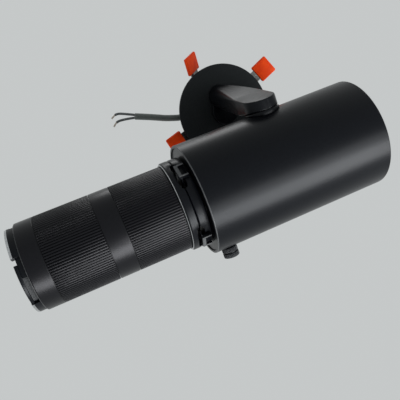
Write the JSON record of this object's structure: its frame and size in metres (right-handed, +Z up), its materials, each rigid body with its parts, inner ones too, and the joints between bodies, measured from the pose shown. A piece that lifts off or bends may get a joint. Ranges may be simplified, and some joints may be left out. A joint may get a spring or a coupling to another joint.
{
  "type": "recessed framing projector spotlight",
  "caption": "Black zoom framing spotlight on a swivel arm under a round recessed ceiling plate with folding spring clips and a bare-ended supply lead.",
  "frame": {"origin": "centre of the trim plate's upper face, which lies against the underside of the ceiling board", "axes": "+Z up into the ceiling void, +X along the beam as it stands in the picture, the lamp body hangs on the -Y side of the arm"},
  "size_m": [0.275, 0.1602, 0.157],
  "materials": {
    "satin_black": "satin black anodised",
    "barrel_black": "fine matt black anodised",
    "powder_black": "black powder coat",
    "spring_steel": "bright spring steel",
    "orange_silicone": "orange silicone",
    "raw_aluminium": "extruded",
    "reflector_mirror": "specular",
    "lens_glass": "coated optical glass",
    "board_white": "white solder mask",
    "dark_plastic": "moulded black",
    "grey_sheath": "grey cable sheath",
    "core_insulation": "core insulation with stripped ends"
  },
  "bodies": {
    "ceiling_base": {"trim_plate": "powder_black", "recess_cup": "powder_black", "cable_gland": "dark_plastic", "cord_sheath": "grey_sheath", "core_live": "core_insulation", "core_neutral": "core_insulation", "clip_bracket_1": "spring_steel", "clip_pin_1": "spring_steel", "clip_spring_1": "spring_steel", "clip_bracket_2": "spring_steel", "clip_pin_2": "spring_steel", "clip_spring_2": "spring_steel", "clip_bracket_3": "spring_steel", "clip_pin_3": "spring_steel", "clip_spring_3": "spring_steel", "clip_bracket_4": "spring_steel", "clip_pin_4": "spring_steel", "clip_spring_4": "spring_steel"},
    "arm": {"swivel_hub": "satin_black", "swivel_nut": "spring_steel", "swing_arm": "satin_black", "tilt_stud": "spring_steel", "tilt_nut": "spring_steel"},
    "head": {"body_tube": "satin_black", "rear_cover": "satin_black", "front_bulkhead": "satin_black", "driver_module": "dark_plastic", "heat_sink": "raw_aluminium", "led_board": "board_white", "led_holder": "dark_plastic", "ellipsoidal_reflector": "reflector_mirror", "condenser_lens": "lens_glass", "tilt_saddle": "satin_black", "rear_collar": "satin_black", "front_collar": "satin_black", "lens_tube": "barrel_black", "middle_band": "barrel_black", "front_ring": "barrel_black", "bayonet_ring": "satin_black"},
    "zoom_grip": {"zoom_ring": "barrel_black"},
    "zoom_group": {"zoom_carriage": "dark_plastic", "zoom_lens": "lens_glass"},
    "focus_grip": {"focus_ring": "barrel_black"},
    "focus_group": {"focus_carriage": "dark_plastic", "focus_lens": "lens_glass"},
    "lock_screw": {"thumbscrew": "satin_black"},
    "clip_1": {"clip_lever_1": "spring_steel", "clip_sleeve_1": "orange_silicone"},
    "shutter_1": {"shutter_blade_1": "satin_black"},
    "clip_2": {"clip_lever_2": "spring_steel", "clip_sleeve_2": "orange_silicone"},
    "shutter_2": {"shutter_blade_2": "satin_black"},
    "clip_3": {"clip_lever_3": "spring_steel", "clip_sleeve_3": "orange_silicone"},
    "shutter_3": {"shutter_blade_3": "satin_black"},
    "clip_4": {"clip_lever_4": "spring_steel", "clip_sleeve_4": "orange_silicone"},
    "shutter_4": {"shutter_blade_4": "satin_black"}
  },
  "joints": [
    {"name": "pan", "type": "hinge", "parent": "ceiling_base", "child": "arm", "pos_m": [0, 0, 0], "axis": [0, 0, 1], "range_deg": [-175, 175]},
    {"name": "tilt", "type": "hinge", "parent": "arm", "child": "head", "pos_m": [0, 0, -0.09], "axis": [0, 1, 0], "range_deg": [-10, 90]},
    {"name": "zoom_turn", "type": "hinge", "parent": "head", "child": "zoom_grip", "pos_m": [0.1038, -0.0486, -0.09], "axis": [1, 0, 0], "range_deg": [0, 90]},
    {"name": "zoom_slide", "type": "slide", "parent": "head", "child": "zoom_group", "axis": [1, 0, 0], "range_m": [0, 0.0225]},
    {"name": "focus_turn", "type": "hinge", "parent": "head", "child": "focus_grip", "pos_m": [0.1638, -0.0486, -0.09], "axis": [1, 0, 0], "range_deg": [-60, 60]},
    {"name": "focus_slide", "type": "slide", "parent": "head", "child": "focus_group", "axis": [1, 0, 0], "range_m": [-0.0081, 0.0081]},
    {"name": "thumbscrew_turn", "type": "hinge", "parent": "head", "child": "lock_screw", "pos_m": [0.06, -0.0916, -0.09], "axis": [0, -1, 0], "continuous": true},
    {"name": "clip_1_fold", "type": "hinge", "parent": "ceiling_base", "child": "clip_1", "pos_m": [0.03386, -0.00844, 0.0058], "axis": [-0.2419, -0.9703, 0], "range_deg": [0, 99], "stiffness_Nm_per_rad": 0.05, "springref_deg": -22.92, "deforming": ["clip_spring_1"]},
    {"name": "clip_2_fold", "type": "hinge", "parent": "ceiling_base", "child": "clip_2", "pos_m": [0.01279, 0.03247, 0.00885], "axis": [0.7975, -0.3142, -0.515], "range_deg": [0, 115], "stiffness_Nm_per_rad": 0.05, "springref_deg": -22.92, "deforming": ["clip_spring_2"]},
    {"name": "clip_3_fold", "type": "hinge", "parent": "ceiling_base", "child": "clip_3", "pos_m": [-0.03163, 0.01475, 0.0058], "axis": [0.4226, 0.9063, 0], "range_deg": [0, 99], "stiffness_Nm_per_rad": 0.05, "springref_deg": -22.92, "deforming": ["clip_spring_3"]},
    {"name": "clip_4_fold", "type": "hinge", "parent": "ceiling_base", "child": "clip_4", "pos_m": [-0.01194, -0.03279, 0.0058], "axis": [-0.9397, 0.342, 0], "range_deg": [0, 99], "stiffness_Nm_per_rad": 0.05, "springref_deg": -22.92, "deforming": ["clip_spring_4"]},
    {"name": "shutter_1_slide", "type": "slide", "parent": "head", "child": "shutter_1", "axis": [0, 0.6691, 0.7431], "range_m": [0, 0.01]},
    {"name": "shutter_2_slide", "type": "slide", "parent": "head", "child": "shutter_2", "axis": [0, -0.7431, 0.6691], "range_m": [0, 0.01]},
    {"name": "shutter_3_slide", "type": "slide", "parent": "head", "child": "shutter_3", "axis": [0, -0.6691, -0.7431], "range_m": [0, 0.01]},
    {"name": "shutter_4_slide", "type": "slide", "parent": "head", "child": "shutter_4", "axis": [0, 0.7431, -0.6691], "range_m": [0, 0.01]}
  ],
  "couplings": [
    {"joint": "zoom_slide", "follows": "zoom_turn", "m_per_rad": 0.014006},
    {"joint": "focus_slide", "follows": "focus_turn", "m_per_rad": 0.007639}
  ]
}
